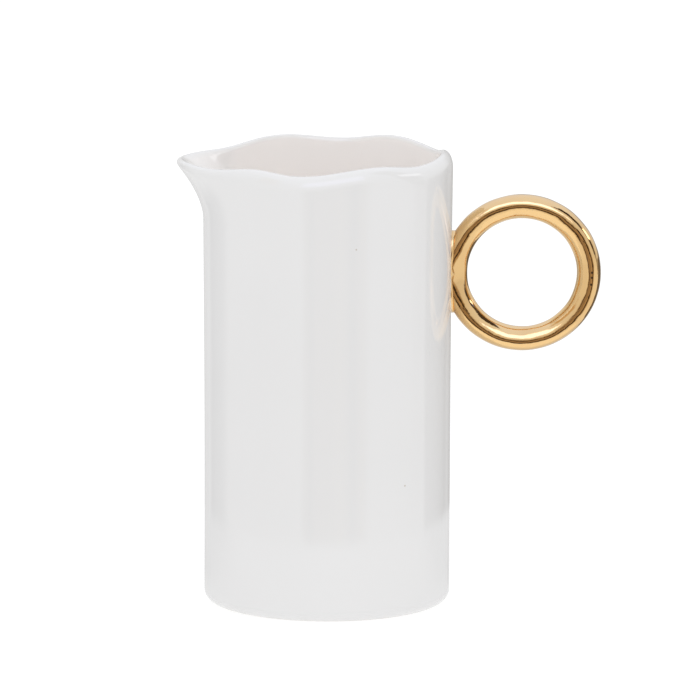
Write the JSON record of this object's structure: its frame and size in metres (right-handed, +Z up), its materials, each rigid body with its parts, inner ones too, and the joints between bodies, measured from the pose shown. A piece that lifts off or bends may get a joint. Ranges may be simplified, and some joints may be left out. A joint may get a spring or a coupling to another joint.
{
  "type": "cream jug",
  "caption": "Tall cylindrical porcelain cream jug with a wavy rim, a pulled pouring spout and a gilded ring handle.",
  "frame": {"origin": "centre of the foot ring, on the surface that the jug stands on", "axes": "+Z up along the jug's axis, +X towards the ring handle, -X towards the spout, +Y away from a viewer who has the spout on the left"},
  "size_m": [0.1172, 0.069, 0.1263],
  "materials": {
    "porcelain": "clear gloss glaze over white porcelain, bare biscuit on the foot ring",
    "gilding": "burnished gold lustre over glazed porcelain",
    "gilded_slip": "gold lustre over a slip joint, white where it meets the wall"
  },
  "bodies": {
    "root": {"jug_body": "porcelain", "ring_handle": "gilding", "luting_collar": "gilded_slip"}
  },
  "joints": []
}
